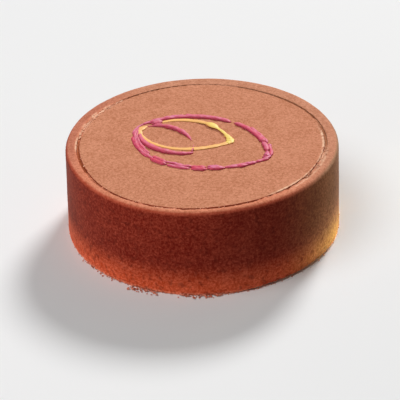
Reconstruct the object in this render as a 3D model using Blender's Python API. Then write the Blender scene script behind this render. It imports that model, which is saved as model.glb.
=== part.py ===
"""A round cake under a sprayed cocoa coat, with piped threads on its top.

Units are metres and +Z is up. The origin is the middle of the flat base, and -Y is
the front. The body is one turned solid: an upright wall, a softly rounded top edge,
a level rim, a narrow ring groove that sits a little nearer the front, and a level
disc inside it. The piped threads and the larger crumbs are fused to the body, so the
whole cake is one closed solid.
"""

import math
import random

import bmesh
import bpy
from mathutils import Vector, noise

# Body
HEIGHT = 0.0617
TOP_RADIUS = 0.0900
BASE_RADIUS = 0.0912
EDGE_RADIUS = 0.0030        # rounding where the wall meets the top
EDGE_STEPS = 5
SEGMENTS = 120              # sides of the turned body
WALL_RINGS = 4
WALL_SWELL = 0.0003         # how far the wall wanders from a true circle
WALL_SWELL_SIZE = 0.028     # width of one swell

# Foot, where the coat ends in a ragged line
FOOT_HEIGHT = 0.0004
FOOT_INSET = 0.0004
LIFT_HEIGHT = 0.0012        # the coat stands clear of the surface at the front right
LIFT_DEPTH = 0.0011
LIFT_FROM = math.radians(-73)
LIFT_TO = math.radians(-25)

# Ring groove in the top
GROOVE_RADIUS = 0.0816
GROOVE_WIDTH = 0.0014
GROOVE_DEPTH = 0.0018
GROOVE_LIP = 0.0004
GROOVE_SHIFT = -0.0030      # the ring's middle lies this far towards the front

# Piped threads: each loop runs from a round root to a pointed tip
PINK_LOOP = {
    "root": (-0.0438, 0.0150), "tip": (0.0438, -0.0244),
    "upper": 0.0336, "lower": 0.0334,
    "root_power": 0.62, "upper_power": 0.70, "lower_power": 0.73,
}
YELLOW_LOOP = {
    "root": (-0.0410, 0.0146), "tip": (0.0198, -0.0038),
    "upper": 0.0210, "lower": 0.0176,
    "root_power": 0.75, "upper_power": 0.85, "lower_power": 0.93,
}
INNER_LOOP = {
    "root": (-0.0400, 0.0181), "tip": (-0.0052, -0.0172),
    "upper": 0.0148, "lower": 0.0138,
    "root_power": 0.62, "upper_power": 0.84, "lower_power": 0.64,
}
PINK_HALF_WIDTH = 0.00092
PINK_STRANDS = 2            # the outer loop was piped round twice
PINK_WANDER = 0.0009        # how far the strands part and cross
YELLOW_HALF_WIDTH = 0.00060
YELLOW_BLOB = 0.0021        # drop left near the tip where the yellow line ends
YELLOW_BLOB_PLACE = (-0.0012, 0.0028)   # from the tip of the loop
YELLOW_SWELL = 0.7          # how much thicker the line is where it meets the drop
YELLOW_SWELL_REACH = 0.0120
INNER_HALF_WIDTH = 0.00100
INNER_GAP = 0.07            # share of each inner stroke that is missing at its tip
THREAD_STEP = 0.0025        # spacing of the rings along a thread
THREAD_SECTION = (          # (across, up) in half widths: settled, so its sides are steep
    (1.00, -0.40), (1.00, 0.35), (0.50, 1.15), (-0.50, 1.15), (-1.00, 0.35), (-1.00, -0.40),
)

# Crumbs
CRUMB_SEED = 7
CRUMB_RADIUS = (0.0006, 0.0011)
GROOVE_CRUMBS = (           # (from, to, how many), degrees from the right-hand side
    (138, 172, 15),
    (-38, -3, 15),
)
FOOT_CRUMBS = (
    (-98, -84, 7),
    (-120, -112, 4),
)

CAKE_COLOUR = (0.37, 0.13, 0.075, 1.0)
CAKE_ROUGHNESS = 0.95


def clear_scene():
    for thing in list(bpy.data.objects):
        bpy.data.objects.remove(thing, do_unlink=True)


def make_material(name, colour, roughness):
    material = bpy.data.materials.new(name)
    material.use_nodes = True
    shader = material.node_tree.nodes["Principled BSDF"]
    shader.inputs["Base Color"].default_value = colour
    shader.inputs["Roughness"].default_value = roughness
    shader.inputs["Metallic"].default_value = 0.0
    return material


def make_object(name, mesh_builder, collection):
    """A new object from a bmesh whose faces are turned outwards."""
    bmesh.ops.recalc_face_normals(mesh_builder, faces=mesh_builder.faces)
    mesh = bpy.data.meshes.new(name)
    mesh_builder.to_mesh(mesh)
    mesh_builder.free()
    thing = bpy.data.objects.new(name, mesh)
    collection.objects.link(thing)
    return thing


# ---------------------------------------------------------------- body

def lift_at(angle):
    """0 where the coat reaches the surface, 1 where it stands clear of it."""
    if not LIFT_FROM < angle < LIFT_TO:
        return 0.0
    share = (angle - LIFT_FROM) / (LIFT_TO - LIFT_FROM)
    wave = 0.75 + 0.25 * math.sin(9.0 * share * math.pi)
    return wave * math.sin(share * math.pi) ** 0.6


def swell_at(angle, height):
    """Slow wandering of the wall, none of it at the top edge."""
    place = Vector((math.cos(angle), math.sin(angle), 0.0)) * BASE_RADIUS
    place.z = height
    fade = min(1.0, (HEIGHT - height) / 0.015)
    return WALL_SWELL * fade * noise.noise(place / WALL_SWELL_SIZE)


def body_rings():
    """Rings from the base up the wall and in over the top, as (radius, z, shift, kind)."""
    rings = [(BASE_RADIUS - FOOT_INSET, 0.0, 0.0, "base")]
    rings.append((BASE_RADIUS, FOOT_HEIGHT, 0.0, "foot"))
    wall_top = HEIGHT - EDGE_RADIUS
    wall_start = FOOT_HEIGHT + LIFT_HEIGHT + 0.0010
    for step in range(WALL_RINGS):
        height = wall_start + (wall_top - wall_start) * step / (WALL_RINGS - 1)
        radius = BASE_RADIUS + (TOP_RADIUS - BASE_RADIUS) * height / wall_top
        rings.append((radius, height, 0.0, "wall"))
    for step in range(1, EDGE_STEPS + 1):
        turn = 0.5 * math.pi * step / EDGE_STEPS
        radius = TOP_RADIUS - EDGE_RADIUS * (1.0 - math.cos(turn))
        rings.append((radius, wall_top + EDGE_RADIUS * math.sin(turn), 0.0, "edge"))
    outer = GROOVE_RADIUS + 0.5 * GROOVE_WIDTH
    inner = GROOVE_RADIUS - 0.5 * GROOVE_WIDTH
    floor = HEIGHT - GROOVE_DEPTH
    for radius, height in (
        (outer + GROOVE_LIP, HEIGHT),
        (outer, HEIGHT - GROOVE_LIP),
        (outer, floor),
        (inner, floor),
        (inner, HEIGHT - GROOVE_LIP),
        (inner - GROOVE_LIP, HEIGHT),
    ):
        rings.append((radius, height, GROOVE_SHIFT, "groove"))
    return rings


def ring_point(angle, radius, height, shift, kind):
    if kind == "base":
        radius -= LIFT_DEPTH * lift_at(angle)
    elif kind == "foot":
        height += LIFT_HEIGHT * lift_at(angle)
    elif kind == "wall":
        radius += swell_at(angle, height)
    return Vector((radius * math.cos(angle), radius * math.sin(angle) + shift, height))


def make_body(collection):
    """The turned body: rings bridged side by side, closed by a flat face at each end."""
    builder = bmesh.new()
    rings = []
    for ring in body_rings():
        points = []
        for step in range(SEGMENTS):
            angle = -math.pi + 2.0 * math.pi * step / SEGMENTS
            points.append(builder.verts.new(ring_point(angle, *ring)))
        rings.append(points)
    for lower, upper in zip(rings, rings[1:]):
        for step in range(SEGMENTS):
            after = (step + 1) % SEGMENTS
            builder.faces.new((lower[step], lower[after], upper[after], upper[step]))
    builder.faces.new(rings[0])
    builder.faces.new(rings[-1])
    return make_object("cake", builder, collection)


# ---------------------------------------------------------------- threads

def loop_point(loop, way):
    """A point of a petal-shaped loop; way runs from 0 at the root round to 2."""
    root = Vector(loop["root"])
    axis = Vector(loop["tip"]) - root
    across = Vector((-axis.y, axis.x)).normalized()
    upper = way <= 1.0
    along = way if upper else 2.0 - way
    share = 0.5 * (1.0 - math.cos(math.pi * along))
    tip_power = loop["upper_power"] if upper else loop["lower_power"]
    widest = loop["root_power"] / (loop["root_power"] + tip_power)
    rise = (share / widest) ** loop["root_power"]
    fall = ((1.0 - share) / (1.0 - widest)) ** tip_power
    side = loop["upper"] if upper else -loop["lower"]
    return root + axis * share + across * side * rise * fall


def even_points(loop, start, end, step):
    """Points at even spacing along a loop between two ways."""
    fine = [loop_point(loop, start + (end - start) * i / 1200) for i in range(1201)]
    lengths = [0.0]
    for one, two in zip(fine, fine[1:]):
        lengths.append(lengths[-1] + (two - one).length)
    count = max(8, round(lengths[-1] / step))
    points = []
    index = 0
    for i in range(count + 1):
        target = lengths[-1] * i / count
        while index < len(lengths) - 2 and lengths[index + 1] < target:
            index += 1
        span = max(1e-9, lengths[index + 1] - lengths[index])
        share = (target - lengths[index]) / span
        points.append(fine[index].lerp(fine[index + 1], share))
    return points


def normal_at(points, index, closed):
    count = len(points)
    before = points[(index - 1) % count] if closed else points[max(0, index - 1)]
    after = points[(index + 1) % count] if closed else points[min(count - 1, index + 1)]
    along = (after - before).normalized()
    return Vector((-along.y, along.x))


def add_thread(name, points, half_widths, closed, collection):
    """A thread along flat points, its underside sunk in the top of the cake."""
    builder = bmesh.new()
    rings = []
    for index, point in enumerate(points):
        across = normal_at(points, index, closed)
        ring = []
        for aside, rise in THREAD_SECTION:
            place = point + across * aside * half_widths[index]
            height = HEIGHT + rise * half_widths[index]
            ring.append(builder.verts.new((place.x, place.y, height)))
        rings.append(ring)
    pairs = list(zip(rings, rings[1:]))
    if closed:
        pairs.append((rings[-1], rings[0]))
    else:
        builder.faces.new(rings[0])
        builder.faces.new(rings[-1])
    sides = len(THREAD_SECTION)
    for one, two in pairs:
        for side in range(sides):
            after = (side + 1) % sides
            builder.faces.new((one[side], one[after], two[after], two[side]))
    return make_object(name, builder, collection)


def wandered(points, amount, waves, phase):
    """The points of a closed loop moved sideways in a slow wave."""
    moved = []
    for index, point in enumerate(points):
        turn = 2.0 * math.pi * index / len(points)
        sway = math.sin(waves * turn + phase) + 0.5 * math.sin((waves + 3) * turn)
        moved.append(point + normal_at(points, index, True) * amount * sway)
    return moved


def add_pink_loop(collection):
    base = even_points(PINK_LOOP, 0.0, 2.0, THREAD_STEP)[:-1]
    for strand in range(PINK_STRANDS):
        points = wandered(base, PINK_WANDER, 4 + strand, math.pi * strand)
        widths = []
        for index in range(len(points)):
            turn = 2.0 * math.pi * index / len(points)
            widths.append(PINK_HALF_WIDTH * (1.0 + 0.18 * math.sin(7.0 * turn + strand)))
        add_thread(f"pink_{strand}", points, widths, True, collection)


def add_yellow_loop(collection):
    points = even_points(YELLOW_LOOP, 0.0, 2.0, THREAD_STEP)[:-1]
    blob = Vector(YELLOW_LOOP["tip"]) + Vector(YELLOW_BLOB_PLACE)
    widths = []
    for point in points:
        near_blob = max(0.0, 1.0 - (point - blob).length / YELLOW_SWELL_REACH)
        widths.append(YELLOW_HALF_WIDTH * (1.0 + YELLOW_SWELL * near_blob))
    add_thread("yellow", points, widths, True, collection)
    builder = bmesh.new()
    bmesh.ops.create_icosphere(builder, subdivisions=2, radius=YELLOW_BLOB)
    bmesh.ops.scale(builder, vec=(1.0, 1.0, 0.55), verts=builder.verts)
    place = (blob.x, blob.y, HEIGHT)
    bmesh.ops.translate(builder, vec=place, verts=builder.verts)
    make_object("yellow_blob", builder, collection)


def add_inner_strokes(collection):
    """Two tapered strokes from the shared root, which stop short of each other."""
    for name, start, end in (
        ("inner_upper", 0.03, 1.0 - INNER_GAP),
        ("inner_lower", 1.97, 1.0 + INNER_GAP),
    ):
        points = even_points(INNER_LOOP, start, end, THREAD_STEP)
        widths = []
        for index in range(len(points)):
            share = index / (len(points) - 1)
            widths.append(INNER_HALF_WIDTH * (0.55 + 0.60 * math.sin(math.pi * share)))
        add_thread(name, points, widths, False, collection)


# ---------------------------------------------------------------- crumbs

def add_crumb(name, centre, radius, rng, collection):
    """A small angular lump, as uneven as a real crumb."""
    builder = bmesh.new()
    bmesh.ops.create_icosphere(builder, subdivisions=1, radius=radius)
    for vert in builder.verts:
        vert.co *= rng.uniform(0.75, 1.0)
    bmesh.ops.translate(builder, vec=centre, verts=builder.verts)
    return make_object(name, builder, collection)


def add_crumbs(rng, collection):
    """Crumbs on both lips of the groove, and along the foot."""
    count = 0
    for start, end, amount in GROOVE_CRUMBS:
        for step in range(amount):
            share = (step + rng.uniform(0.1, 0.9)) / amount
            angle = math.radians(start + (end - start) * share)
            side = rng.choice((-1.0, 1.0))
            radius = GROOVE_RADIUS + side * (0.5 * GROOVE_WIDTH + GROOVE_LIP)
            size = rng.uniform(*CRUMB_RADIUS)
            centre = (
                radius * math.cos(angle),
                radius * math.sin(angle) + GROOVE_SHIFT,
                HEIGHT - 0.1 * size,
            )
            add_crumb(f"crumb_{count}", centre, size, rng, collection)
            count += 1
    for start, end, amount in FOOT_CRUMBS:
        for step in range(amount):
            share = (step + rng.uniform(0.1, 0.9)) / amount
            angle = math.radians(start + (end - start) * share)
            size = rng.uniform(*CRUMB_RADIUS)
            radius = BASE_RADIUS + 0.1 * size
            centre = (radius * math.cos(angle), radius * math.sin(angle), 1.15 * size)
            add_crumb(f"crumb_{count}", centre, size, rng, collection)
            count += 1


# ---------------------------------------------------------------- assembly

def fuse(body, toppings):
    """Join the body and every topping into one solid, then drop the toppings."""
    union = body.modifiers.new("toppings", "BOOLEAN")
    union.operation = "UNION"
    union.operand_type = "COLLECTION"
    union.collection = toppings
    union.solver = "EXACT"
    bpy.context.view_layer.objects.active = body
    bpy.ops.object.modifier_apply(modifier=union.name)
    for thing in list(toppings.objects):
        bpy.data.objects.remove(thing, do_unlink=True)
    bpy.data.collections.remove(toppings)


def main():
    clear_scene()
    scene_collection = bpy.context.scene.collection
    toppings = bpy.data.collections.new("toppings")
    scene_collection.children.link(toppings)
    cake = make_body(scene_collection)
    add_pink_loop(toppings)
    add_yellow_loop(toppings)
    add_inner_strokes(toppings)
    add_crumbs(random.Random(CRUMB_SEED), toppings)
    fuse(cake, toppings)
    cake.data.materials.clear()
    cake.data.materials.append(make_material("cocoa_coat", CAKE_COLOUR, CAKE_ROUGHNESS))
    cake.data.shade_smooth()
    cake.data.set_sharp_from_angle(angle=math.radians(35))


main()
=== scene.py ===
import math
import random

import bmesh
import bpy
from mathutils import Matrix, Vector, noise


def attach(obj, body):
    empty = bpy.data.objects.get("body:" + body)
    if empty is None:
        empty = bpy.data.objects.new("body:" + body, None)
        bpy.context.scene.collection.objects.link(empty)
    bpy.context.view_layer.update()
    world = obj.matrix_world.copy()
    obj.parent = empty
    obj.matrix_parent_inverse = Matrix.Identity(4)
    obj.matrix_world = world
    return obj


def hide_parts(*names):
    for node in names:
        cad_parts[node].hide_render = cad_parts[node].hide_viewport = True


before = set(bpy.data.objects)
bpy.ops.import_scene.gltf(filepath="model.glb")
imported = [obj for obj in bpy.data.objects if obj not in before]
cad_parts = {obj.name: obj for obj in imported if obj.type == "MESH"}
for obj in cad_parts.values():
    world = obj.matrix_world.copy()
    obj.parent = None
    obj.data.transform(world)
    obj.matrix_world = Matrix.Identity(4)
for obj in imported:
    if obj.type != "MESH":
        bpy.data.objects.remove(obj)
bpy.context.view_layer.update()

# The cake stands on the origin, +Z is up and -Y is the front. Everything is in metres.
# Ring angles are in degrees, counted from the right-hand side (+X) towards the back.


# ---- selecting and shaping, as by hand

def deselectAll():
    active = bpy.context.view_layer.objects.active
    if active and active.mode != "OBJECT":
        bpy.ops.object.mode_set(mode="OBJECT")
    bpy.ops.object.select_all(action="DESELECT")


def makeActive(piece):
    deselectAll()
    bpy.context.view_layer.objects.active = piece
    piece.select_set(True)


def openPiece(piece):
    makeActive(piece)
    bpy.ops.object.mode_set(mode="EDIT")
    bpy.ops.mesh.select_all(action="SELECT")


def pick(kind, test):  # kind is VERT or EDGE
    bpy.ops.mesh.select_mode(type=kind)
    bpy.ops.mesh.select_all(action="DESELECT")
    mesh = bpy.context.edit_object.data
    shape = bmesh.from_edit_mesh(mesh)
    for part in (shape.verts if kind == "VERT" else shape.edges):
        if test(part):
            part.select_set(True)
    shape.select_flush_mode()
    bmesh.update_edit_mesh(mesh)


def widen(scale, centre=(0, 0, 0)):
    bpy.ops.transform.resize(value=(scale, scale, 1), center_override=centre)


def raisePart(rise):
    bpy.ops.transform.translate(value=(0, 0, rise))


def extrudeRing(rise, scale, centre=(0, 0, 0)):
    bpy.ops.mesh.extrude_region_move(TRANSFORM_OT_translate={"value": (0, 0, rise)})
    widen(scale, centre)


def ringRadius(place, shift=0.0):
    return math.hypot(place.x, place.y - shift)


def ringAngle(place, shift=0.0):
    return math.degrees(math.atan2(place.y - shift, place.x))


def grooveRadius(place):
    return ringRadius(place, groove["shift"])


def grooveAngle(place):
    return ringAngle(place, groove["shift"])


def mendMesh(mergeDistance):  # joins points that meet and turns all faces outwards
    bpy.ops.mesh.select_all(action="SELECT")
    bpy.ops.mesh.remove_doubles(threshold=mergeDistance)
    bpy.ops.mesh.normals_make_consistent(inside=False)
    bpy.ops.object.mode_set(mode="OBJECT")


def endEditing(piece, name):
    mendMesh(0.000002)  # well under the spacing of the disc's middle ring
    bpy.ops.object.transform_apply(location=True, rotation=True, scale=True)
    piece.name = name
    piece.data.name = name


def shadeByAngle(piece, angle):
    makeActive(piece)
    bpy.ops.object.shade_smooth_by_angle(angle=math.radians(angle))


def addObject(name, data):
    thing = bpy.data.objects.new(name, data)
    bpy.context.scene.collection.objects.link(thing)
    return thing


def weighPoints(piece, name, weightAt):  # a vertex group from a rule about place
    group = piece.vertex_groups.new(name=name)
    for point in piece.data.vertices:
        weight = weightAt(point.co)
        if weight > 0.0:
            group.add([point.index], min(1.0, weight), "REPLACE")


def addRelief(piece, name, grainSize, height, group="", direction="NORMAL", depth=2):
    texture = bpy.data.textures.new(name, "CLOUDS")
    texture.noise_scale = grainSize
    texture.noise_depth = depth
    makeActive(piece)
    relief = piece.modifiers.new(name, "DISPLACE")
    relief.texture = texture
    relief.texture_coords = "LOCAL"
    relief.direction = direction
    relief.mid_level = 0.5
    relief.strength = height
    relief.vertex_group = group
    bpy.ops.object.modifier_apply(modifier=name)


def smoothShare(value, low, high):  # 0 below low, 1 above high, eased between
    share = max(0.0, min(1.0, (value - low) / (high - low)))
    return share * share * (3.0 - 2.0 * share)


def bandShare(value, start, full, held, end):  # 0 outside, 1 from full to held
    return smoothShare(value, start, full) * smoothShare(-value, -end, -held)


def arcShare(angle, start, end, ease):  # 1 inside an arc, easing to 0 at its ends
    return bandShare(angle, start, start + ease, end - ease, end)


def dress(piece, material):  # what every piece of the cake is given
    piece.data.materials.clear()
    piece.data.materials.append(material)
    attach(piece, "root")
    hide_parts("cake")


# ---- materials

def newMaterial(name):
    material = bpy.data.materials.new(name)
    material.use_nodes = True
    tree = material.node_tree
    return material, tree, tree.nodes["Principled BSDF"]


def fillSockets(node, **sockets):
    for socket, value in sockets.items():
        node.inputs[socket.replace("_", " ")].default_value = value


def addNode(tree, kind, **sockets):
    node = tree.nodes.new(kind)
    fillSockets(node, **sockets)
    return node


def objectCoords(tree):
    return tree.nodes.new("ShaderNodeTexCoord").outputs["Object"]


def surfaceNormal(tree):
    return tree.nodes.new("ShaderNodeNewGeometry").outputs["Normal"]


def upwardPart(tree, vector):
    node = tree.nodes.new("ShaderNodeSeparateXYZ")
    tree.links.new(vector, node.inputs[0])
    return node.outputs["Z"]


def noiseNode(tree, coords, featureSize, detail=2.0, roughness=0.5):
    node = addNode(tree, "ShaderNodeTexNoise", Scale=1.0 / featureSize, Detail=detail, Roughness=roughness)
    tree.links.new(coords, node.inputs["Vector"])
    return node.outputs["Fac"]


def rangeNode(tree, value, low, high, outLow=0.0, outHigh=1.0):
    node = addNode(tree, "ShaderNodeMapRange", From_Min=low, From_Max=high, To_Min=outLow, To_Max=outHigh)
    node.interpolation_type = "SMOOTHSTEP"
    tree.links.new(value, node.inputs["Value"])
    return node.outputs["Result"]


def mathNode(tree, operation, one, two):
    node = tree.nodes.new("ShaderNodeMath")
    node.operation = operation
    for socket, value in zip(node.inputs, (one, two)):
        if isinstance(value, (int, float)):
            socket.default_value = value
        else:
            tree.links.new(value, socket)
    return node.outputs[0]


def mixNode(tree, share, one, two, blend="MIX"):
    node = tree.nodes.new("ShaderNodeMix")
    node.data_type = "RGBA"
    node.blend_type = blend
    for socket, value in zip((node.inputs[0], node.inputs[6], node.inputs[7]), (share, one, two)):
        if isinstance(value, (int, float)):
            socket.default_value = value
        elif isinstance(value, tuple):
            socket.default_value = (*value, 1.0)
        else:
            tree.links.new(value, socket)
    return node.outputs[2]


def attributeNode(tree, name):
    node = tree.nodes.new("ShaderNodeAttribute")
    node.attribute_name = name
    return node.outputs["Fac"]


def multiplyNode(tree, share, colour, factor):  # colour, times factor where share is 1
    return mixNode(tree, share, colour, mixNode(tree, 1.0, colour, factor, "MULTIPLY"))


def addDrift(tree, base, patches, amount):  # base, moved up and down by broad patches
    drift = mathNode(tree, "MULTIPLY", mathNode(tree, "SUBTRACT", patches, 0.5), amount)
    return mathNode(tree, "ADD", base, drift)


def addBump(tree, shader, height, strength, distance):
    node = addNode(tree, "ShaderNodeBump", Strength=strength, Distance=distance)
    tree.links.new(height, node.inputs["Height"])
    tree.links.new(node.outputs["Normal"], shader.inputs["Normal"])


coat = {
    "disc": ((0.466, 0.163, 0.077), (0.742, 0.321, 0.193)),  # level parts inside the groove
    "rim": ((0.548, 0.165, 0.082), (0.854, 0.321, 0.190)),  # and outside it
    "edge": ((0.438, 0.066, 0.028), (0.680, 0.153, 0.084)),  # where the rim turns down: painted shade, darker and redder
    "brownEdge": ((0.360, 0.180, 0.098), (0.540, 0.285, 0.168)),
    "brownRim": (0.86, 1.06, 1.12),  # what the level rim is multiplied by where it is brown
    "leftRimShade": (0.76, 0.73, 0.77),  # painted shade: what the rim is multiplied by on the left
    "leftRimShadeArc": (118.0, 212.0, 28.0),
    # the walls' colours are darker and redder than the level parts as painted shade
    "wall": ((0.128, 0.0042, 0.0005), (0.305, 0.044, 0.022)),
    # lighter and more orange near the floor: painted reflected light
    "foot": ((0.440, 0.047, 0.011), (0.755, 0.145, 0.066)),
    "brown": ((0.195, 0.072, 0.027), (0.400, 0.168, 0.070)),  # the browner wall on the right, partly a painted golden reflection
    "goldReflection": ((0.400, 0.190, 0.045), (0.710, 0.400, 0.108)),  # and its foot, lighter and golden: painted golden reflection
    "lipColour": (0.92, 0.300, 0.160),  # ragged edge just above the floor
    "blotColour": (0.085, 0.004, 0.001),
    "shade": (0.76, 0.77, 0.68),  # what the wall is multiplied by at the front right
    "shadeArc": (-100.0, -50.0, -40.0, -28.0),
    "shadeHeights": (0.012, 0.034),  # heights between which it grows
    "crackColour": (0.46, 0.120, 0.044),  # inside the groove
    "brownCrack": (0.44, 0.175, 0.085),
    # pale rubbed coat, and a painted highlight along the groove's outer lip
    "wearAndHighlightColour": (0.95, 0.60, 0.40),
    "footReflectionHeights": (0.002, 0.024),  # heights between which the painted reflected light at the foot fades
    "brownFrom": -62.0, "brownTo": -228.0,  # ring angles, going round the right and the back
    "brownEase": 42.0,
    "grainSize": 0.0016, "fineSize": 0.0008, "blotSize": 0.0034, "mottleSize": 0.016,
    "fineShare": 0.35,  # how much of the grain is the fine one
    "drift": 0.20,  # how far the mottle moves the tone
    "tones": (0.5, 0.27), "wallTones": (0.54, 0.2295),  # (middle, contrast)
    "edgeTurn": (0.64, 0.990), "brownEdgeTurn": (0.60, 0.986),  # how far the surface faces upwards
    "wallTurn": (0.05, 1.0), "brownWallTurn": (-0.05, 0.70),
    "blots": (0.54, 0.74, 0.0, 0.50),
    "lipBand": (0.0026, 0.0010),  # heights
    "bump": (0.45, 0.0004),
    "roughness": 0.93, "specular": 0.06,
    "sheen": 0.12, "sheenRoughness": 0.45, "sheenTint": (1.0, 0.80, 0.64, 1.0),
}


def makeCoatMaterial(name, level):  # level is the key of what its level parts look like
    material, tree, shader = newMaterial(name)
    coords = objectCoords(tree)
    up = upwardPart(tree, coords)
    facing = upwardPart(tree, surfaceNormal(tree))
    browned = attributeNode(tree, "browned")
    grain = noiseNode(tree, coords, coat["grainSize"])
    fine = noiseNode(tree, coords, coat["fineSize"], 2.0, 0.6)
    mottle = noiseNode(tree, coords, coat["mottleSize"], 3.0, 0.55)
    grain = mathNode(tree, "MULTIPLY", grain, 1.0 - coat["fineShare"])
    mixed = mathNode(tree, "ADD", grain, mathNode(tree, "MULTIPLY", fine, coat["fineShare"]))
    drifted = addDrift(tree, mixed, mottle, coat["drift"])

    def shareNode(middle, contrast):
        return rangeNode(tree, drifted, middle - contrast, middle + contrast)

    def toneNode(amount, key):
        return mixNode(tree, amount, *coat[key])

    def turnNode(key):  # 0 where the surface is steep, 1 where it is level
        return rangeNode(tree, facing, *coat[key])

    share = shareNode(*coat["tones"])
    wallShare = shareNode(*coat["wallTones"])
    top = toneNode(share, level)
    brownTop = mixNode(tree, 1.0, top, coat["brownRim"], "MULTIPLY")
    # painted shade: where the surface turns from level to steep, the coat is given darker, redder colours
    # (edge, then wall)
    redFlat = mixNode(tree, turnNode("edgeTurn"), toneNode(share, "edge"), top)
    brownFlat = mixNode(tree, turnNode("brownEdgeTurn"), toneNode(share, "brownEdge"), brownTop)
    flat = mixNode(tree, browned, redFlat, brownFlat)
    # painted shade on the rim at the left
    flat = multiplyNode(tree, attributeNode(tree, "rimShade"), flat, coat["leftRimShade"])
    # painted reflected light at the foot: orange in front, golden on the right
    foot = mixNode(tree, browned, toneNode(wallShare, "foot"), toneNode(wallShare, "goldReflection"))
    wall = mixNode(tree, browned, toneNode(wallShare, "wall"), toneNode(wallShare, "brown"))
    upright = mixNode(tree, rangeNode(tree, up, *coat["footReflectionHeights"]), foot, wall)
    blots = rangeNode(tree, noiseNode(tree, coords, coat["blotSize"], 1.0, 0.5), *coat["blots"])
    blotted = mixNode(tree, blots, upright, coat["blotColour"])
    blotted = multiplyNode(tree, attributeNode(tree, "shaded"), blotted, coat["shade"])
    lipShare = mathNode(tree, "MULTIPLY", rangeNode(tree, up, *coat["lipBand"]), share)
    lipped = mixNode(tree, lipShare, blotted, coat["lipColour"])
    redBase = mixNode(tree, turnNode("wallTurn"), lipped, flat)
    base = mixNode(tree, browned, redBase, mixNode(tree, turnNode("brownWallTurn"), lipped, flat))
    crack = mixNode(tree, browned, coat["crackColour"], coat["brownCrack"])
    cracked = mixNode(tree, attributeNode(tree, "cracked"), base, crack)
    # pale rubbed coat and painted lip highlights
    final = mixNode(tree, attributeNode(tree, "wearAndHighlight"), cracked, coat["wearAndHighlightColour"])
    tree.links.new(final, shader.inputs["Base Color"])
    addBump(tree, shader, mixed, *coat["bump"])
    fillSockets(shader, Roughness=coat["roughness"], Specular_IOR_Level=coat["specular"],
                Sheen_Weight=coat["sheen"], Sheen_Roughness=coat["sheenRoughness"],
                Sheen_Tint=coat["sheenTint"])
    return material


pinkIcing = {
    "lilac": (0.75, 0.180, 0.315), "coral": (0.75, 0.145, 0.222), "deep": (0.72, 0.060, 0.125),
    "shadedFlank": (0.56, 0.056, 0.112),  # painted shade: colour of the sides that face away from the light
    "shadeTurn": (0.42, 0.76),  # how far the surface faces the light, for the painted shade
    "patchSize": 0.005,
    "roughness": 0.48,
    "sheen": 0.06,
    "bump": 0.30,
    "glow": 0.20,  # light let through
}

yellowIcing = {
    "lilac": (1.00, 0.54, 0.200), "coral": (1.00, 0.55, 0.170), "deep": (1.00, 0.74, 0.185),
    # painted shade on the sides that face away from the light
    "shadedFlank": (0.86, 0.44, 0.115),
    "shadeTurn": (0.15, 0.60),
    "patchSize": 0.006,
    "roughness": 0.42,
    "sheen": 0.0,
    "bump": 0.25,
    "glow": 0.0,
}

icings = {  # what both have in common
    "lightDirection": (0.25, 0.55, 0.80),  # the direction the light comes from: the icing is painted darkest where it faces away from this
    "drift": 1.2,
    "fineSize": 0.0010, "fineHeight": 0.0003,
    "specular": 0.28,
    "sheenRoughness": 0.40, "sheenTint": (1.0, 0.80, 0.90, 1.0),
    "glowRadius": (1.0, 0.45, 0.45), "glowScale": 0.0008,
}


def makeIcingMaterial(name, icing):  # the tone attribute runs from lilac (0) to deep (1)
    material, tree, shader = newMaterial(name)
    coords = objectCoords(tree)
    patches = noiseNode(tree, coords, icing["patchSize"])
    fine = noiseNode(tree, coords, icings["fineSize"])
    tone = addDrift(tree, attributeNode(tree, "tone"), patches, icings["drift"])
    paler = mixNode(tree, rangeNode(tree, tone, 0.0, 0.5), icing["lilac"], icing["coral"])
    colour = mixNode(tree, rangeNode(tree, tone, 0.5, 1.0), paler, icing["deep"])
    facing = tree.nodes.new("ShaderNodeVectorMath")
    facing.operation = "DOT_PRODUCT"
    facing.inputs[1].default_value = icings["lightDirection"]
    tree.links.new(surfaceNormal(tree), facing.inputs[0])
    # painted shade: the flank colour where the surface faces away from the light
    level = rangeNode(tree, facing.outputs["Value"], *icing["shadeTurn"])
    tree.links.new(mixNode(tree, level, icing["shadedFlank"], colour), shader.inputs["Base Color"])
    addBump(tree, shader, fine, icing["bump"], icings["fineHeight"])
    fillSockets(shader, Roughness=icing["roughness"], Specular_IOR_Level=icings["specular"],
                Sheen_Weight=icing["sheen"], Sheen_Roughness=icings["sheenRoughness"],
                Sheen_Tint=icings["sheenTint"], Subsurface_Weight=icing["glow"],
                Subsurface_Radius=icings["glowRadius"], Subsurface_Scale=icings["glowScale"])
    return material


crumbLook = {
    "pale": ((0.96, 0.55, 0.36), (0.64, 0.25, 0.14)),  # (light, dark) patches
    "red": ((0.66, 0.24, 0.15), (0.48, 0.12, 0.065)),
    "patchSize": 0.0026, "patches": (0.35, 0.65),
    "fineSize": 0.0005,
    "bump": (0.4, 0.0002),
    "roughness": 0.85,
}


def makeCrumbMaterial(name, light, dark):
    material, tree, shader = newMaterial(name)
    coords = objectCoords(tree)
    patches = noiseNode(tree, coords, crumbLook["patchSize"], 2.0, 0.6)
    colour = mixNode(tree, rangeNode(tree, patches, *crumbLook["patches"]), light, dark)
    tree.links.new(colour, shader.inputs["Base Color"])
    addBump(tree, shader, noiseNode(tree, coords, crumbLook["fineSize"], 2.0, 0.6), *crumbLook["bump"])
    fillSockets(shader, Roughness=crumbLook["roughness"])
    return material


# ---- the coated body

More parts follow.
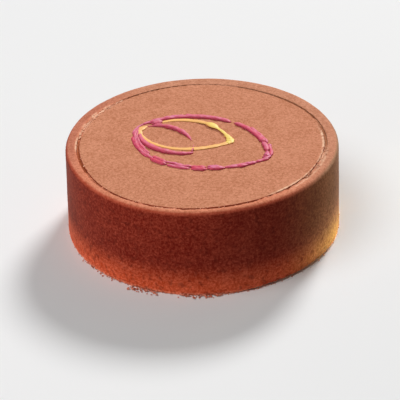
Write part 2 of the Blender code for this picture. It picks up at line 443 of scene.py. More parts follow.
body = {
    "height": 0.0617,
    "topRadius": 0.09,
    "baseRadius": 0.0912,
    "edgeRadius": 0.0033,  # rounding of the top edge
    "edgeSteps": 8,
    "around": 800,  # sides of the turned body
    "wallCuts": 84,
    "wallStart": 0.0024,
    "footHeight": 0.0006,
    "footInset": 0.0005,
    "grain": (0.0014, 0.00013),  # (size, height) of each relief
    "swell": (0.03, 0.00045),
    "ragged": (0.003, 0.0009),
    "raggedLine": (0.006, 0.0009),
    "lips": (0.0022, 0.00045),
    "scuffs": (0.0024, 0.0009),
    "scuffArc": (-166.0, -104.0, 14.0), "scuffTop": 0.016,
}

sag = {  # the top slopes down towards the front left
    "arc": (-172.0, -68.0, 46.0),
    "depth": 0.0014,
    "reach": (0.052, 0.084),  # distances from the axis between which it grows
    "below": 0.046,
}

footLift = {  # the coat stands clear at the front right
    "arc": (-78.0, -22.0),
    "steps": 9,
    "height": 0.0022,
    "depth": 0.0048,
}

scar = {  # a thin raised flake low on the front left
    "from": (-131.0, 0.0165), "to": (-116.0, 0.0085),  # (ring angle, height)
    "halfWidth": 0.0009,
    "height": 0.0007,
}

groove = {
    "radius": 0.0816,
    "width": 0.0016,
    "depth": 0.0014,
    "lip": 0.0004,
    "shift": -0.003,  # its middle lies this far towards the front
    "rimCuts": 8,
    "wallSteps": 3,
    # where the outer lip is pale, partly wear and partly a painted highlight: how strongly, and (from, to,
    # ease)
    "lipWearAndHighlight": ((0.85, (170.0, 187.0, 5.0)), (0.45, (222.0, 264.0, 12.0)), (0.6, (308.0, 354.0, 8.0))),
    # arcs rubbed pale: (from, to, how strongly, how far outwards of its middle)
    "scuffed": (
        (132.0, 172.0, 0.75, 0.0012), (146.5, 154.5, 0.95, 0.003), (139.0, 144.0, 0.7, 0.0026),
        (158.0, 164.0, 0.6, 0.0028), (166.0, 170.0, 0.6, 0.0022), (-22.0, -9.0, 0.85, 0.0014),
    ),
    "fill": 0.5,
    "fillWaves": ((0.006, 3.0, 0.6), (0.0016, 8.0, 0.4)),  # (length, seed, amount)
    "filled": (  # arcs where crumbs and coat close it
        (134.0, 172.0, 0.95), (42.0, 110.0, 0.32), (62.0, 92.0, 0.24), (-32.0, -20.0, 0.6),
        (-22.0, -12.0, 0.9), (-66.0, -36.0, 0.36), (-8.0, 12.0, -0.12), (176.0, 204.0, -0.85),
        (202.0, 236.0, 0.24), (237.0, 243.0, 0.7), (243.5, 248.0, -0.2), (248.0, 262.0, 0.24),
        (266.0, 272.0, 0.2), (280.0, 285.0, -0.15), (112.0, 118.0, 0.2), (127.0, 134.0, 0.15),
    ),
    "bends": (  # (from, to, outwards): it is not quite a true ring
        (-155.0, -82.0, 0.0006), (-162.0, -112.0, 0.0008), (20.0, 84.0, -0.0011), (-38.0, -10.0, -0.0005),
    ),
}

disc = {
    "around": 760,
    "swell": (0.03, 0.00035),
    "cuts": 104,
    "sink": 0.0002,  # how far it reaches into the body below
    "middle": 0.0012,
    "widen": 1.0040,  # front to back, so the groove is finer there
    "edgeRows": (0.0003, 0.0006, 0.0009, 0.0013, 0.0018),
    "burrArc": (-62.0, 16.0),  # raised pale inner lip at the right front
    "burrSteps": 5,
    "burrHeight": 0.0007,
    "wearWidth": 0.0018,
}


def sagAt(place):
    around = arcShare(ringAngle(place), *sag["arc"])
    outwards = smoothShare(ringRadius(place), *sag["reach"])
    return sag["depth"] * around * outwards * smoothShare(place.z, sag["below"], body["height"] - 0.002)


def grooveFill(angle):  # how far the groove is closed, from 0 to 1
    walk = math.radians(angle) * groove["radius"]
    fill = groove["fill"]
    for length, seed, amount in groove["fillWaves"]:
        fill += amount * noise.noise(Vector((walk / length, seed, 0.0)))
    for start, end, amount in groove["filled"]:
        fill += amount * arcShare((angle - start) % 360.0 + start, start - 1.5, end + 1.5, 3.0)
    return max(0.0, min(0.97, fill))


def raiseArc(move, start, end, steps, onRing):  # nested arcs, so that it eases in and out
    for step in range(steps):
        inset = (end - start) * 0.5 * step / (steps + 1)
        low = start + inset
        high = end - inset
        pick("VERT", lambda point: onRing(point.co) and low <= ringAngle(point.co) <= high)
        move(1.0 / steps)


def shapeGroove(outer, inner):
    for start, end, outwards in groove["bends"]:
        steps = 6
        grow = 1.0 + outwards / steps / groove["radius"]
        raiseArc(
            lambda share: widen(grow, (0, groove["shift"], 0)), start, end, steps,
            lambda place: place.z > body["height"] - 2.0 * groove["depth"]
            and inner - 0.0022 < grooveRadius(place) < outer + groove["lip"] + 0.0007,
        )


def makeBody():
    print("coated body")
    deselectAll()
    footRadius = body["baseRadius"] - body["footInset"]
    bpy.ops.mesh.primitive_circle_add(vertices=body["around"], radius=footRadius, fill_type="NGON")
    piece = bpy.context.active_object
    openPiece(piece)
    extrudeRing(body["footHeight"], body["baseRadius"] / footRadius)
    wallTop = body["height"] - body["edgeRadius"]
    taper = (body["topRadius"] - body["baseRadius"]) / wallTop
    rings = [(body["baseRadius"] + taper * height, height) for height in (body["wallStart"], wallTop)]
    for step in range(1, body["edgeSteps"] + 1):
        turn = 0.5 * math.pi * step / body["edgeSteps"]
        rings.append((body["topRadius"] - body["edgeRadius"] * (1.0 - math.cos(turn)),
                      wallTop + body["edgeRadius"] * math.sin(turn)))
    radius = body["baseRadius"]
    level = body["footHeight"]
    for nextRadius, nextLevel in rings:
        extrudeRing(nextLevel - level, nextRadius / radius)
        radius = nextRadius
        level = nextLevel
    centre = (0, groove["shift"], 0)
    outer = groove["radius"] + 0.5 * groove["width"]
    inner = outer - groove["width"]
    extrudeRing(0, (outer + groove["lip"]) / radius)
    bpy.ops.transform.translate(value=(0, groove["shift"], 0))
    extrudeRing(-groove["lip"], outer / (outer + groove["lip"]), centre)
    wallDepth = (groove["depth"] - groove["lip"]) / groove["wallSteps"]
    for step in range(groove["wallSteps"]):
        extrudeRing(-wallDepth, 1)
    extrudeRing(0, inner / outer, centre)
    extrudeRing(0, (inner - 0.0012) / inner, centre)
    shapeGroove(outer, inner)
    # rows on the wall, then on the rim
    pick("EDGE", lambda edge: abs(edge.verts[0].co.z - edge.verts[1].co.z) > 0.02)
    bpy.ops.mesh.subdivide(number_cuts=body["wallCuts"])
    rimInside = radius - 0.0005

    def isRimSpoke(edge):
        one, two = (ringRadius(point.co) for point in edge.verts)
        flat = all(abs(point.co.z - body["height"]) < 0.00001 for point in edge.verts)
        return flat and max(one, two) > rimInside and abs(one - two) > 0.001

    pick("EDGE", isRimSpoke)
    bpy.ops.mesh.subdivide(number_cuts=groove["rimCuts"])
    # the coat's edge lifts off the floor, and below it the foot is set back
    raiseArc(
        lambda share: raisePart(footLift["height"] * share),
        *footLift["arc"], footLift["steps"],
        lambda place: place.z < body["wallStart"] * 0.8 and ringRadius(place) > footRadius + 0.0002,
    )
    setBack = 1.0 - footLift["depth"] / footLift["steps"] / footRadius
    raiseArc(
        lambda share: widen(setBack), *footLift["arc"], footLift["steps"],
        lambda place: place.z < 0.0001,
    )
    endEditing(piece, "cakeBody")
    weighPoints(piece, "skin", lambda place: smoothShare(place.z, 0.0006, 0.0040)
                * smoothShare(grooveRadius(place), outer, outer + 0.0010))
    weighPoints(piece, "foot", lambda place: bandShare(place.z, 0.0001, 0.0006, 0.0016, 0.0060))
    weighPoints(piece, "lips", lambda place: smoothShare(place.z, 0.0590, 0.0605)
                * smoothShare(-grooveRadius(place), -outer - 0.0012, -outer))
    weighPoints(piece, "scuffs", lambda place: arcShare(ringAngle(place), *body["scuffArc"])
                * bandShare(place.z, 0.0006, 0.0030, 0.0050, body["scuffTop"]))
    weighPoints(piece, "scar", nearScar)
    weighPoints(piece, "infill", lambda place: max(0.0, body["height"] - place.z) / groove["depth"]
                * (1.0 if inner - 0.0006 < grooveRadius(place) < outer + 0.0008
                   and place.z > body["height"] - 1.5 * groove["depth"] else 0.0)
                * grooveFill(grooveAngle(place)))
    addRelief(piece, "swell", *body["swell"], "skin")
    addRelief(piece, "grain", *body["grain"], "skin")
    addRelief(piece, "ragged", *body["ragged"], "foot")
    addRelief(piece, "raggedLine", *body["raggedLine"], "foot", "Z")
    addRelief(piece, "lips", *body["lips"], "lips")
    addRelief(piece, "scuffs", *body["scuffs"], "scuffs", depth=4)
    pushOut(piece, "scar", scar["height"])
    pushOut(piece, "infill", groove["depth"] - 0.0002, "Z")

    # pale rubbed coat, and painted highlights along the groove's outer lip
    def wearAndHighlightAt(place):
        angle = grooveAngle(place) % 360.0
        near = smoothShare(-abs(grooveRadius(place) - outer - 0.0005), -0.0010, -0.0002)
        high = smoothShare(place.z, 0.0600, 0.0610)
        lip = max(amount * arcShare(angle, *arc) for amount, arc in groove["lipWearAndHighlight"])
        return max(near * high * lip, scuffedAt(place))

    paint(piece, "wearAndHighlight", wearAndHighlightAt, broken=True)
    # browner on the right and at the back, partly as a painted golden reflection
    paint(piece, "browned", brownedAt)
    paint(piece, "shaded", lambda place: bandShare(ringAngle(place), *coat["shadeArc"])
          * smoothShare(place.z, *coat["shadeHeights"]))
    # painted shade on the rim at the left, outside the groove
    paint(piece, "rimShade", lambda place: arcShare(ringAngle(place) % 360.0, *coat["leftRimShadeArc"])
          * smoothShare(grooveRadius(place), outer, outer + 0.0030))
    paint(piece, "cracked", lambda place: crackedAt(place)
          * smoothShare(-grooveRadius(place), -outer - 0.0006, -outer - 0.0001))
    lower(piece)
    shadeByAngle(piece, 60)
    return piece


def scuffedAt(place):  # rubbed bands over the groove
    angle = grooveAngle(place)
    radius = grooveRadius(place)
    inside = smoothShare(radius - groove["radius"], -0.0018, -0.0008)
    strongest = 0.0
    for start, end, amount, reach in groove["scuffed"]:
        amount *= arcShare((angle - start) % 360.0 + start, start, end, 2.5)
        amount *= smoothShare(groove["radius"] - radius, -reach, 0.0010 - reach)
        strongest = max(strongest, amount)
    return strongest * inside * smoothShare(place.z, 0.0598, 0.0606)


def brownedAt(place):  # 0 in front, 1 on the right and at the back
    angle = (ringAngle(place) - coat["brownFrom"]) % 360.0
    turn = (coat["brownTo"] - coat["brownFrom"]) % 360.0
    half = 0.5 * coat["brownEase"]
    return bandShare(angle, 0.0, coat["brownEase"], turn - half, turn + half)


def crackedAt(place):
    return smoothShare(-place.z, -body["height"] + 0.0002, -body["height"] + 0.0009)


def nearScar(place):
    if place.z < 0.004 or place.z > 0.022:
        return 0.0
    (startAngle, startHeight), (endAngle, endHeight) = scar["from"], scar["to"]
    share = (ringAngle(place) - startAngle) / (endAngle - startAngle)
    if not 0.0 <= share <= 1.0:
        return 0.0
    line = startHeight + (endHeight - startHeight) * share + 0.0012 * math.sin(math.pi * share)
    across = abs(place.z - line) / scar["halfWidth"]
    return max(0.0, 1.0 - across) * math.sin(math.pi * share) ** 0.5


def paint(piece, name, amountAt, broken=False):  # a painted amount, broken up by noise if asked
    attribute = piece.data.attributes.new(name, "FLOAT", "POINT")
    for point in piece.data.vertices:
        amount = amountAt(point.co)
        if broken and amount > 0.0:
            patch = 0.72 + 1.5 * noise.noise(point.co / 0.0020)
            amount = min(1.0, amount * max(0.0, min(1.0, patch)))
        attribute.data[point.index].value = amount


def lower(piece):
    weighPoints(piece, "sag", lambda place: sagAt(place) / sag["depth"])
    pushOut(piece, "sag", -sag["depth"], "Z")


def pushOut(piece, group, distance, direction="NORMAL"):
    makeActive(piece)
    push = piece.modifiers.new(group, "DISPLACE")
    push.direction = direction
    push.mid_level = 0.0
    push.strength = distance
    push.vertex_group = group
    bpy.ops.object.modifier_apply(modifier=group)


def makeDisc():
    print("disc inside the groove")
    deselectAll()
    floor = body["height"] - groove["depth"] - disc["sink"]
    radius = groove["radius"] - 0.5 * groove["width"]
    centre = (0, groove["shift"], 0)
    bpy.ops.mesh.primitive_circle_add(
        vertices=disc["around"], radius=radius, fill_type="NGON", location=(0, groove["shift"], floor))
    piece = bpy.context.active_object
    bpy.ops.object.transform_apply(location=True)
    openPiece(piece)
    extrudeRing(0.5 * (body["height"] - groove["lip"] - floor), 1)
    extrudeRing(0.5 * (body["height"] - groove["lip"] - floor), 1)
    topRadius = radius - groove["lip"]
    extrudeRing(groove["lip"], topRadius / radius, centre)
    ringNow = topRadius
    for inset in disc["edgeRows"]:
        extrudeRing(0, (topRadius - inset) / ringNow, centre)
        ringNow = topRadius - inset
    extrudeRing(0, disc["middle"] / ringNow, centre)
    extrudeRing(0, 0.5, centre)
    bpy.ops.mesh.merge(type="CENTER")
    pick("EDGE", lambda edge: (edge.verts[0].co - edge.verts[1].co).length > 0.5 * topRadius)
    bpy.ops.mesh.subdivide(number_cuts=disc["cuts"])
    for reach, part in ((0.0001, 0.4), (0.0004, 0.35), (0.0007, 0.25)):
        raiseArc(
            lambda share: raisePart(disc["burrHeight"] * part * share),
            *disc["burrArc"], disc["burrSteps"],
            lambda place: place.z > body["height"] - 0.0001
            and grooveRadius(place) > topRadius - reach,
        )
    shapeGroove(radius + 0.0001, radius - 0.0001)
    bpy.ops.mesh.select_all(action="SELECT")
    bpy.ops.transform.resize(value=(1, disc["widen"], 1), center_override=centre)
    endEditing(piece, "cakeTop")
    weighPoints(piece, "skin", lambda place: smoothShare(place.z, 0.0605, 0.0614)
                * smoothShare(-grooveRadius(place), -topRadius, 0.0015 - topRadius))
    weighPoints(piece, "lips", lambda place: smoothShare(place.z, 0.0605, 0.0614)
                * smoothShare(grooveRadius(place), topRadius - 0.0020, topRadius))
    addRelief(piece, "discSwell", *disc["swell"], "skin")
    addRelief(piece, "discGrain", *body["grain"], "skin")
    addRelief(piece, "discLips", *body["lips"], "lips")
    paint(piece, "wearAndHighlight", lambda place: max(scuffedAt(place), arcShare(
        grooveAngle(place), *disc["burrArc"], 12.0)
        * smoothShare(grooveRadius(place), topRadius - disc["wearWidth"], topRadius - 0.0006)
        * smoothShare(place.z, 0.0612, 0.0615) * 1.25), broken=True)
    paint(piece, "cracked", crackedAt)
    lower(piece)
    shadeByAngle(piece, 60)
    return piece


# ---- piped threads: each loop runs from a round root to a pointed tip and back

pinkLoop = {
    "root": (-0.0438, 0.0150), "tip": (0.0438, -0.0244),
    "upper": 0.0336, "lower": 0.0334,
    "rootPower": 0.62, "upperPower": 0.70, "lowerPower": 0.73,
    "halfWidth": 0.00166,
    "wander": 0.0006,
    "flatness": 0.50,
}

# ways where it starts and ends, width, (mm outwards at the start, at the end), mm of lift, tone
pinkStrands = (
    (0.135, 0.545, 1.20, (0.6, 0.5), 0.2, 0.4),  # along the back, up to the gap
    (0.100, 0.330, 0.75, (1.6, 2.5), 0.1, 0.1),
    (0.325, 0.525, 0.80, (2.4, 2.0), 0.1, 0.3),
    (0.140, 0.215, 1.15, (0.2, -1.0), 0.7, 0.6),  # lump that hides the yellow loop's end
    (0.146, 0.210, 1.05, (-1.8, -2.8), 0.9, 0.6),
    (0.152, 0.200, 0.80, (-3.6, -4.4), 0.7, 0.7),
    (0.562, 0.800, 1.20, (1.1, -0.6), 0.3, 0.7),  # right side, inner and outer
    (0.572, 0.640, 0.60, (2.4, 2.4), 0.1, 0.1),
    (0.646, 0.800, 0.80, (2.8, 1.3), 0.4, 0.4),
    (0.640, 0.668, 0.80, (3.4, 2.8), 0.9, 0.6),
    (0.785, 0.905, 1.15, (-0.8, -2.0), 0.6, 0.4),
    (0.812, 0.842, 0.80, (1.8, 1.9), 0.3, 0.0),
    (0.825, 0.980, 0.75, (1.1, 0.0), 0.4, 0.6),
    (0.900, 1.085, 1.20, (-1.7, -2.8), 0.5, 0.1),  # round the tip
    (0.960, 1.105, 0.95, (-0.4, -0.4), 0.7, 0.1),
    (1.040, 1.160, 0.95, (0.2, -0.6), 0.3, 0.2),
    (1.150, 1.220, 1.00, (-0.4, -0.6), 0.1, 0.1),  # short dashes along the front
    (1.198, 1.262, 1.15, (0.0, -0.2), 0.4, 0.4),
    (1.250, 1.316, 0.95, (-0.6, -1.0), 0.2, 0.2),
    (1.180, 1.290, 0.60, (-2.0, -2.2), 0.1, 0.0),
    (1.312, 1.388, 1.35, (-0.5, -0.8), 0.3, 0.2),
    (1.330, 1.392, 1.00, (-2.8, -3.0), 0.1, 0.0),
    (1.390, 1.458, 1.15, (0.2, 0.4), 0.1, 1.0),
    (1.394, 1.462, 1.05, (-2.2, -2.0), 0.4, 0.9),
    (1.462, 1.568, 0.90, (0.2, 0.4), 0.2, 0.4),
    (1.455, 1.540, 0.85, (-2.4, -1.8), 0.3, 0.4),
    (1.500, 1.590, 0.70, (-3.4, -2.4), 0.1, 0.1),
    (1.570, 1.658, 1.15, (0.5, 0.8), 0.3, 0.9),  # bundle round the left end
    (1.580, 1.668, 1.00, (-2.0, -1.8), 0.6, 0.7),
    (1.640, 1.720, 0.75, (0.0, -0.4), 0.2, 0.5),
    (1.680, 1.905, 0.60, (0.9, 0.3), 0.2, 0.9),
    (1.676, 2.060, 0.70, (-0.3, -0.7), 0.7, 0.6),
    (1.690, 1.980, 0.55, (-1.7, -1.7), 0.5, 0.8),
    (1.700, 1.900, 0.60, (-2.9, -2.9), 0.7, 0.6),
    (1.760, 1.860, 0.45, (-4.0, -3.6), 0.2, 0.5),
    (1.860, 2.080, 0.50, (-2.2, -2.0), 0.9, 0.7),
    (1.930, 2.130, 0.45, (0.3, 2.2), 0.1, 0.0),
)

yellowLoop = {
    "root": (-0.0412, 0.0150), "tip": (0.0192, -0.0034),
    "upper": 0.0216, "lower": 0.0166,
    "rootPower": 0.75, "upperPower": 0.85, "lowerPower": 0.93,
    "halfWidth": 0.00190,
    "wander": 0.0004,
    "offsets": (-0.3, -0.3, 0.0, 0.8, 0.8, 0.2),  # mm outwards, evenly spaced along it
    "start": 0.205, "end": 2.150,  # ways; its first stretch lies under the pink lump
    "drop": (0.84, 1.13, 1.6, (0.2, -0.6), 0.1),  # a second, thicker strand round the tip
    "drops": (  # x, y and radius
        (0.0165, 0.0050, 0.0020), (0.0182, 0.0010, 0.0024),
        (0.0174, -0.0044, 0.0020), (0.0190, -0.0020, 0.0020),
    ),
    "dropStretch": (0.95, 1.10, 1.90),
    "dropLumps": (0.0020, 0.0008),
    "lump": (0.0078, 0.0178), "lumpSwell": 0.45, "rootSwell": 0.20,
    "thinner": (  # by how much, and the ways (from, fully, until, to)
        (0.38, (-1.0, 0.0, 0.20, 0.50)), (0.38, (0.66, 0.70, 0.80, 0.86)), (0.30, (1.42, 1.58, 1.83, 1.93)),
    ),
    "flatness": 0.24,
    # raised where it is stretched thin
    "lift": (0.1, 0.1, 0.1, 3.4, 3.4, 0.1, 0.1, 0.1, 0.1, 0.1, 0.1, 0.1),
    "tone": 0.35, "dropTone": 1.2,
    "deeper": (0.002, 0.007, -0.0046, 0.6),  # (x from, x fully, behind this y, how much deeper)
}

innerLoop = {
    "root": (-0.0400, 0.0181), "tip": (-0.0052, -0.0172),
    "upper": 0.0148, "lower": 0.0138,
    "rootPower": 0.62, "upperPower": 0.84, "lowerPower": 0.64,
    "wander": 0.0003,
    "flatness": 0.54,
    # ways where each starts, ends and is widest, half width, mm outwards, mm of lift, tone
    "upperStroke": (0.110, 0.655, 0.41, 0.00228, (0.1, 0.35, -0.1, -0.15, -0.1), 0.0, 0.50),
    "lowerStroke": (0.900, 1.870, 1.50, 0.00240, (-1.4, -1.3, -0.7, -0.4, -1.2), 0.0, 0.50),
    "curl": (0.735, 0.975, 0.90, 0.00075, (-0.2, -2.2), (0.0, 0.0, 0.2, 1.2, 1.4, 0.4), 0.45),
}

threadStep = 0.0006  # spacing of the points along a thread
threadLumps = (0.0011, 0.00022)  # (size, height) of its relief
threadWaves = {"sway": 0.020, "shake": 0.005, "lumps": 0.0040, "lift": 0.010}  # lengths along it


def loopPoint(loop, way):  # way goes from 0 at the root round to 2
    root = Vector(loop["root"])
    axis = Vector(loop["tip"]) - root
    across = Vector((-axis.y, axis.x)).normalized()
    upper = way <= 1.0
    share = 0.5 * (1.0 - math.cos(math.pi * (way if upper else 2.0 - way)))
    tipPower = loop["upperPower"] if upper else loop["lowerPower"]
    widest = loop["rootPower"] / (loop["rootPower"] + tipPower)
    rise = (share / widest) ** loop["rootPower"] * ((1.0 - share) / (1.0 - widest)) ** tipPower
    return root + axis * share + across * (loop["upper"] if upper else -loop["lower"]) * rise


def alongRow(row, share):  # evenly spaced values, read in between
    spot = share * (len(row) - 1)
    low = min(len(row) - 2, int(spot))
    return row[low] + (row[low + 1] - row[low]) * (spot - low)


def evenRoute(loop, start, end):  # (point, way) at even spacing
    count = 2000
    ways = [start + (end - start) * i / count for i in range(count + 1)]
    fine = [loopPoint(loop, max(0.0, min(2.0, way % 2.0 if way > 2.0 else way))) for way in ways]
    route = [(fine[0], ways[0])]
    walked = 0.0
    for i in range(1, count + 1):
        walked += (fine[i] - fine[i - 1]).length
        if walked >= threadStep:
            route.append((fine[i], ways[i]))
            walked = 0.0
    return route


def pipeThread(name, route, halfWidths, heights):
    curve = bpy.data.curves.new(name, "CURVE")
    curve.dimensions = "3D"
    curve.twist_mode = "Z_UP"
    curve.bevel_depth = 0.001
    curve.bevel_resolution = 4
    curve.use_fill_caps = True
    spline = curve.splines.new("POLY")
    spline.points.add(len(route) - 1)
    for point, place, halfWidth, height in zip(spline.points, route, halfWidths, heights):
        point.co = (place.x, place.y, height, 1.0)
        point.radius = halfWidth / curve.bevel_depth
    makeActive(addObject(name, curve))
    bpy.ops.object.convert(target="MESH")
    return bpy.context.active_object


def strand(name, loop, start, end, halfWidthAt, offsets, lift, tone, seed, taper=0.004):
    route = evenRoute(loop, start, end)
    places = [place for place, way in route]
    moved = []
    widths = []
    heights = []
    count = len(places)

    def wave(kind, row):
        return noise.noise(Vector((walk / threadWaves[kind], seed, row)))

    for i, place in enumerate(places):
        along = (places[min(count - 1, i + 1)] - places[max(0, i - 1)]).normalized()
        outwards = Vector((-along.y, along.x))
        walk = i * threadStep
        sway = wave("sway", 0.0) + 0.45 * wave("shake", 5.0)
        offset = 0.001 * alongRow(offsets, i / count)
        moved.append(place + outwards * (offset + loop["wander"] * sway))
        fromEnd = min(i, count - 1 - i) * threadStep
        ends = 0.45 + 0.55 * smoothShare(fromEnd, 0.0, taper)
        lumps = 1.0 + 0.30 * wave("lumps", 9.0)
        widths.append(halfWidthAt(route[i][1]) * ends * lumps)
        waved = 0.5 + 0.5 * wave("lift", 3.0)
        rise = alongRow(lift, i / count) if isinstance(lift, tuple) else lift * waved
        heights.append(body["height"] + widths[-1] * 0.35 + 0.001 * rise)
    thread = pipeThread(name, moved, widths, heights)
    paintTone(thread, tone)
    return thread


def paintTone(piece, tone):
    attribute = piece.data.attributes.new("tone", "FLOAT", "POINT")
    for value in attribute.data:
        value.value = tone


def joinPieces(parts, name):
    deselectAll()
    for part in parts:
        part.select_set(True)
    bpy.context.view_layer.objects.active = parts[0]
    bpy.ops.object.join()
    piece = bpy.context.active_object
    piece.name = name
    piece.data.name = name
    return piece


def finishThread(piece):
    openPiece(piece)
    mendMesh(0.00001)
    addRelief(piece, piece.name + "Lumps", *threadLumps)
    makeActive(piece)
    bpy.ops.object.shade_smooth()
    return piece


def flatten(piece, share):  # squashed towards the top of the cake
    openPiece(piece)
    bpy.ops.transform.resize(value=(1, 1, share), center_override=(0, 0, body["height"]))
    bpy.ops.object.mode_set(mode="OBJECT")


def makePinkLoop():
    print("pink outer loop")
    parts = []
    for index, (start, end, width, offsets, lift, tone) in enumerate(pinkStrands):
        halfWidth = pinkLoop["halfWidth"] * width
        parts.append(strand(
            f"pinkStrand{index}", pinkLoop, start, end, lambda way: halfWidth,
            offsets, lift, tone, 1.0 + index, 0.0026 * width))
    piece = joinPieces(parts, "pinkOuterLoop")
    flatten(piece, pinkLoop["flatness"])
    return finishThread(piece)


def makeInnerStrokes():
    print("pink inner strokes")
    parts = []
    for name, seed in (("upperStroke", 31.0), ("lowerStroke", 32.0), ("curl", 33.0)):
        start, end, widest, halfWidth, offsets, lift, tone = innerLoop[name]

        def widthAt(way):
            reach = (way - start) / (widest - start) if way < widest else (end - way) / (end - widest)
            return halfWidth * (0.45 + 0.55 * smoothShare(reach, 0.0, 1.0))

        parts.append(strand(name, innerLoop, start, end, widthAt, offsets, lift, tone, seed, 0.005))
    piece = joinPieces(parts, "pinkInnerStrokes")
    flatten(piece, innerLoop["flatness"])
    return finishThread(piece)


def makeYellowLoop():
    print("yellow loop")
    lump = Vector(yellowLoop["lump"])
    root = Vector(yellowLoop["root"])

    def width(way):
        place = loopPoint(yellowLoop, way % 2.0)
        nearLump = smoothShare(0.0055 - (place - lump).length, 0.0, 0.0035)
        nearRoot = smoothShare(0.008 - (place - root).length, 0.0, 0.006)
        share = 1.0 + yellowLoop["lumpSwell"] * nearLump + yellowLoop["rootSwell"] * nearRoot
        for amount, band in yellowLoop["thinner"]:
            share -= amount * bandShare(way, *band)
        return yellowLoop["halfWidth"] * share

    def dropWidth(way):
        return yellowLoop["halfWidth"] * dropSize

    parts = [strand("yellowThread", yellowLoop, yellowLoop["start"], yellowLoop["end"], width,
                    yellowLoop["offsets"], yellowLoop["lift"], yellowLoop["tone"], 21.0)]
    fromX, fullX, line, deeper = yellowLoop["deeper"]
    thread = parts[0].data
    for point, value in zip(thread.vertices, thread.attributes["tone"].data):
        if point.co.y > line:
            value.value += deeper * smoothShare(point.co.x, fromX, fullX)
    start, end, dropSize, offsets, lift = yellowLoop["drop"]
    parts.append(strand("yellowDrop", yellowLoop, start, end, dropWidth, offsets, lift,
                        yellowLoop["dropTone"], 22.0, 0.006))
    for index, (x, y, radius) in enumerate(yellowLoop["drops"]):
        deselectAll()
        bpy.ops.mesh.primitive_uv_sphere_add(
            segments=32, ring_count=18, radius=radius, location=(x, y, body["height"]))
        bpy.ops.transform.resize(value=yellowLoop["dropStretch"])
        drop = bpy.context.active_object
        bpy.ops.object.transform_apply(location=True, rotation=True, scale=True)
        addRelief(drop, f"dropLumps{index}", *yellowLoop["dropLumps"])
        paintTone(drop, yellowLoop["dropTone"])
        parts.append(drop)
    piece = joinPieces(parts, "yellowLoop")
    flatten(piece, yellowLoop["flatness"])
    return finishThread(piece)


# ---- crumbs

crumbs = {
    "seed": 7,
    "shapes": 5,
    # ring angles from and to, how many, (smallest, largest) size, spread across
    "groove": (
        (128.0, 174.0, 60, (0.0002, 0.0006), 0.0011),
        (149.0, 154.0, 16, (0.0006, 0.00135), 0.0012),
        (143.5, 146.0, 6, (0.0005, 0.00115), 0.001),
        (138.5, 141.5, 8, (0.0005, 0.00115), 0.001),
        (164.0, 171.0, 9, (0.0005, 0.00105), 0.001),
        (-19.0, -8.0, 22, (0.0003, 0.00105), 0.0014),
        (-27.0, -23.0, 7, (0.0004, 0.0011), 0.0009),
        (-37.0, -33.0, 6, (0.0004, 0.0011), 0.0009),
        (-62.0, -2.0, 18, (0.0002, 0.0006), 0.0007),
        (176.0, 222.0, 16, (0.00025, 0.0006), 0.0012),
        (222.0, 290.0, 36, (0.00015, 0.0005), 0.0008),
    ),
    # crumbs packed into the groove: ring angles from and to, half width
    "packed": (
        (131.0, 143.0, 0.0005), (142.0, 156.0, 0.001), (154.0, 166.0, 0.0008), (164.0, 174.0, 0.0006),
    ),
    "packedFlatness": 0.4, "packedLumps": (0.001, 0.0005),
    "foot": (
        (-101.0, -84.0, 34, (0.00045, 0.00125), 0.0042),
        (-122.0, -109.0, 32, (0.00045, 0.0013), 0.0052),
        (-150.0, -124.0, 16, (0.00035, 0.0008), 0.0025),
        (-150.0, -60.0, 70, (0.0003, 0.0007), 0.0009),
        (-60.0, -24.0, 12, (0.0002, 0.00055), 0.0012),
        (-24.0, 210.0, 60, (0.0002, 0.0005), 0.0006),
    ),
}


def makeCrumbShapes(rng):
    shapes = []
    for index in range(crumbs["shapes"]):
        deselectAll()
        bpy.ops.mesh.primitive_ico_sphere_add(subdivisions=2, radius=1.0)
        shape = bpy.context.active_object
        shape.name = f"crumbShape{index}"
        bpy.ops.transform.resize(value=(1.0, rng.uniform(0.6, 0.9), rng.uniform(0.45, 0.75)))
        bpy.ops.object.transform_apply(scale=True)
        addRelief(shape, f"crumbRelief{index}", rng.uniform(0.6, 1.1), 0.8)
        shapes.append(shape)
    return shapes


def scatterCrumbs(shapes, rng, arcs, placeAt, name):
    copies = []
    for start, end, amount, (smallest, largest), spread in arcs:
        for step in range(amount):
            angle = math.radians(start + (end - start) * (step + rng.random()) / amount)
            size = smallest + (largest - smallest) * rng.random() ** 1.6
            source = rng.choice(shapes)
            copy = addObject(name, source.data.copy())
            turn = Matrix.Rotation(rng.uniform(0, 2 * math.pi), 4, "Z")
            turn = turn @ Matrix.Rotation(rng.uniform(-0.7, 0.7), 4, "X")
            place = Matrix.Translation(placeAt(angle, size, spread))
            copy.data.transform(place @ turn @ Matrix.Scale(size, 4))
            copies.append(copy)
    piece = joinPieces(copies, name)
    shadeByAngle(piece, 40)
    return piece


def packGroove():
    parts = []
    for start, end, halfWidth in crumbs["packed"]:
        count = int(math.radians(end - start) * groove["radius"] / threadStep)
        route = []
        widths = []
        for i in range(count):
            angle = math.radians(start + (end - start) * i / count)
            radius = groove["radius"] + 0.0005 * noise.noise(Vector((i / 4.0, start, 0.0)))
            route.append(Vector((radius * math.cos(angle), radius * math.sin(angle) + groove["shift"])))
            widths.append(halfWidth * (0.75 + 0.6 * noise.noise(Vector((i / 2.5, start, 4.0)))))
        parts.append(pipeThread("packedCrumbs", route, widths, [body["height"] - 0.0003] * count))
    piece = joinPieces(parts, "packedCrumbs")
    flatten(piece, crumbs["packedFlatness"])
    addRelief(piece, "packedLumps", *crumbs["packedLumps"], depth=3)
    return piece


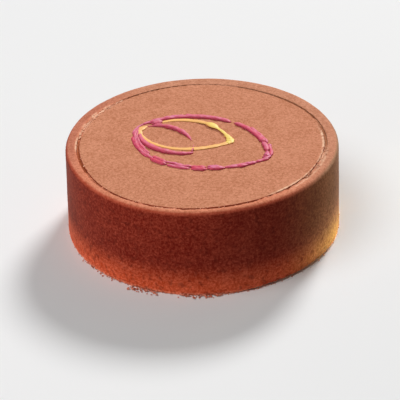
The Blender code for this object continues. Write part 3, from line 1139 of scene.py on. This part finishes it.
def makeCrumbs():
    print("crumbs")
    rng = random.Random(crumbs["seed"])
    shapes = makeCrumbShapes(rng)

    def onGroove(angle, size, spread):
        radius = groove["radius"] + rng.gauss(0.0, spread * 0.7)
        y = radius * math.sin(angle) + groove["shift"]
        place = Vector((radius * math.cos(angle), y, body["height"]))
        place.z += 0.10 * size - sagAt(place)
        return place

    def onFoot(angle, size, spread):
        radius = body["baseRadius"] + spread * rng.random() ** 1.5
        return Vector((radius * math.cos(angle), radius * math.sin(angle), 0.90 * size))

    loose = scatterCrumbs(shapes, rng, crumbs["groove"], onGroove, "grooveCrumbs")
    inGroove = joinPieces([loose, packGroove()], "grooveCrumbs")
    atFoot = scatterCrumbs(shapes, rng, crumbs["foot"], onFoot, "footCrumbs")
    for shape in shapes:
        bpy.data.objects.remove(shape, do_unlink=True)
    return inGroove, atFoot


# ---- studio: floor, lights and camera

studio = {
    "floorSize": 6.0,
    "floorColour": (0.86, 0.86, 0.86), "floorRoughness": 0.9,
    "worldColour": (1.0, 1.0, 1.0), "worldStrength": 0.06,
    "elevation": 31.31, "roll": -1.54,
    "distance": 1.235,
    "aim": (-0.00224, 0.0, 0.01562),
    "lens": 165.4, "sensor": 36.0,
}

lights = {  # place, aim, (width, height), watts, colour, spread
    "key": ((1.22, 2.74, 2.40), (0, 0, 0.05), (1.00, 1.00), 124.0, (1.0, 1.0, 1.0), 180.0),
    "over": ((-0.60, -0.50, 1.50), (0, 0, 0.05), (1.20, 1.20), 14.0, (1.0, 1.0, 1.0), 180.0),
    "left": ((-1.30, -0.75, 0.03), (0, 0, 0.03), (0.22, 0.05), 8.5, (1.0, 1.0, 1.0), 180.0),
    "golden": ((0.85, 0.10, 0.05), (0.08, 0, 0.02), (0.20, 0.20), 0.8, (1.0, 0.88, 0.55), 180.0),
    "glint": ((0.490, 0.353, 0.007), (0.0435, -0.0483, 0.003), (0.09, 0.008), 0.015, (1.0, 0.90, 0.50), 7.0),
}


def makeStudio():
    print("studio")
    deselectAll()
    bpy.ops.mesh.primitive_plane_add(size=studio["floorSize"])
    floor = bpy.context.active_object
    floor.name = "floor"
    material, tree, shader = newMaterial("paleFloor")
    fillSockets(shader, Base_Color=(*studio["floorColour"], 1.0), Roughness=studio["floorRoughness"])
    floor.data.materials.append(material)
    world = bpy.data.worlds.new("studioWorld")
    bpy.context.scene.world = world
    world.use_nodes = True
    background = world.node_tree.nodes["Background"]
    fillSockets(background, Color=(*studio["worldColour"], 1.0), Strength=studio["worldStrength"])
    for name, (place, aim, (width, height), watts, colour, spread) in lights.items():
        lamp = bpy.data.lights.new(name, "AREA")
        lamp.shape = "ELLIPSE"
        lamp.size = width
        lamp.size_y = height
        lamp.energy = watts
        lamp.color = colour
        lamp.spread = math.radians(spread)
        holder = addObject(name, lamp)
        holder.location = place
        holder.rotation_euler = (Vector(aim) - Vector(place)).to_track_quat("-Z", "Y").to_euler()
    elevation = math.radians(studio["elevation"])
    back = Vector((0.0, -math.cos(elevation), math.sin(elevation)))
    camera = addObject("camera", bpy.data.cameras.new("camera"))
    camera.data.lens = studio["lens"]
    camera.data.sensor_width = studio["sensor"]
    camera.data.clip_start = 0.05
    camera.data.clip_end = 20.0
    place = Matrix.Translation(Vector(studio["aim"]) + back * studio["distance"])
    tilt = Matrix.Rotation(math.radians(90.0 - studio["elevation"]), 4, "X")
    camera.matrix_world = place @ tilt @ Matrix.Rotation(math.radians(studio["roll"]), 4, "Z")
    bpy.context.scene.camera = camera
    bpy.context.scene.view_settings.view_transform = "Standard"


# ---- the whole cake

discMaterial = makeCoatMaterial("discCoat", "disc")
rimMaterial = makeCoatMaterial("sprayedCoat", "rim")
pinkMaterial = makeIcingMaterial("pinkIcing", pinkIcing)
yellowMaterial = makeIcingMaterial("yellowIcing", yellowIcing)
crumbMaterial = makeCrumbMaterial("paleCrumb", *crumbLook["pale"])
footCrumbMaterial = makeCrumbMaterial("redCrumb", *crumbLook["red"])

dress(makeBody(), rimMaterial)
dress(makeDisc(), discMaterial)
dress(makePinkLoop(), pinkMaterial)
dress(makeInnerStrokes(), pinkMaterial)
dress(makeYellowLoop(), yellowMaterial)
grooveCrumbs, footCrumbs = makeCrumbs()
dress(grooveCrumbs, crumbMaterial)
dress(footCrumbs, footCrumbMaterial)
makeStudio()
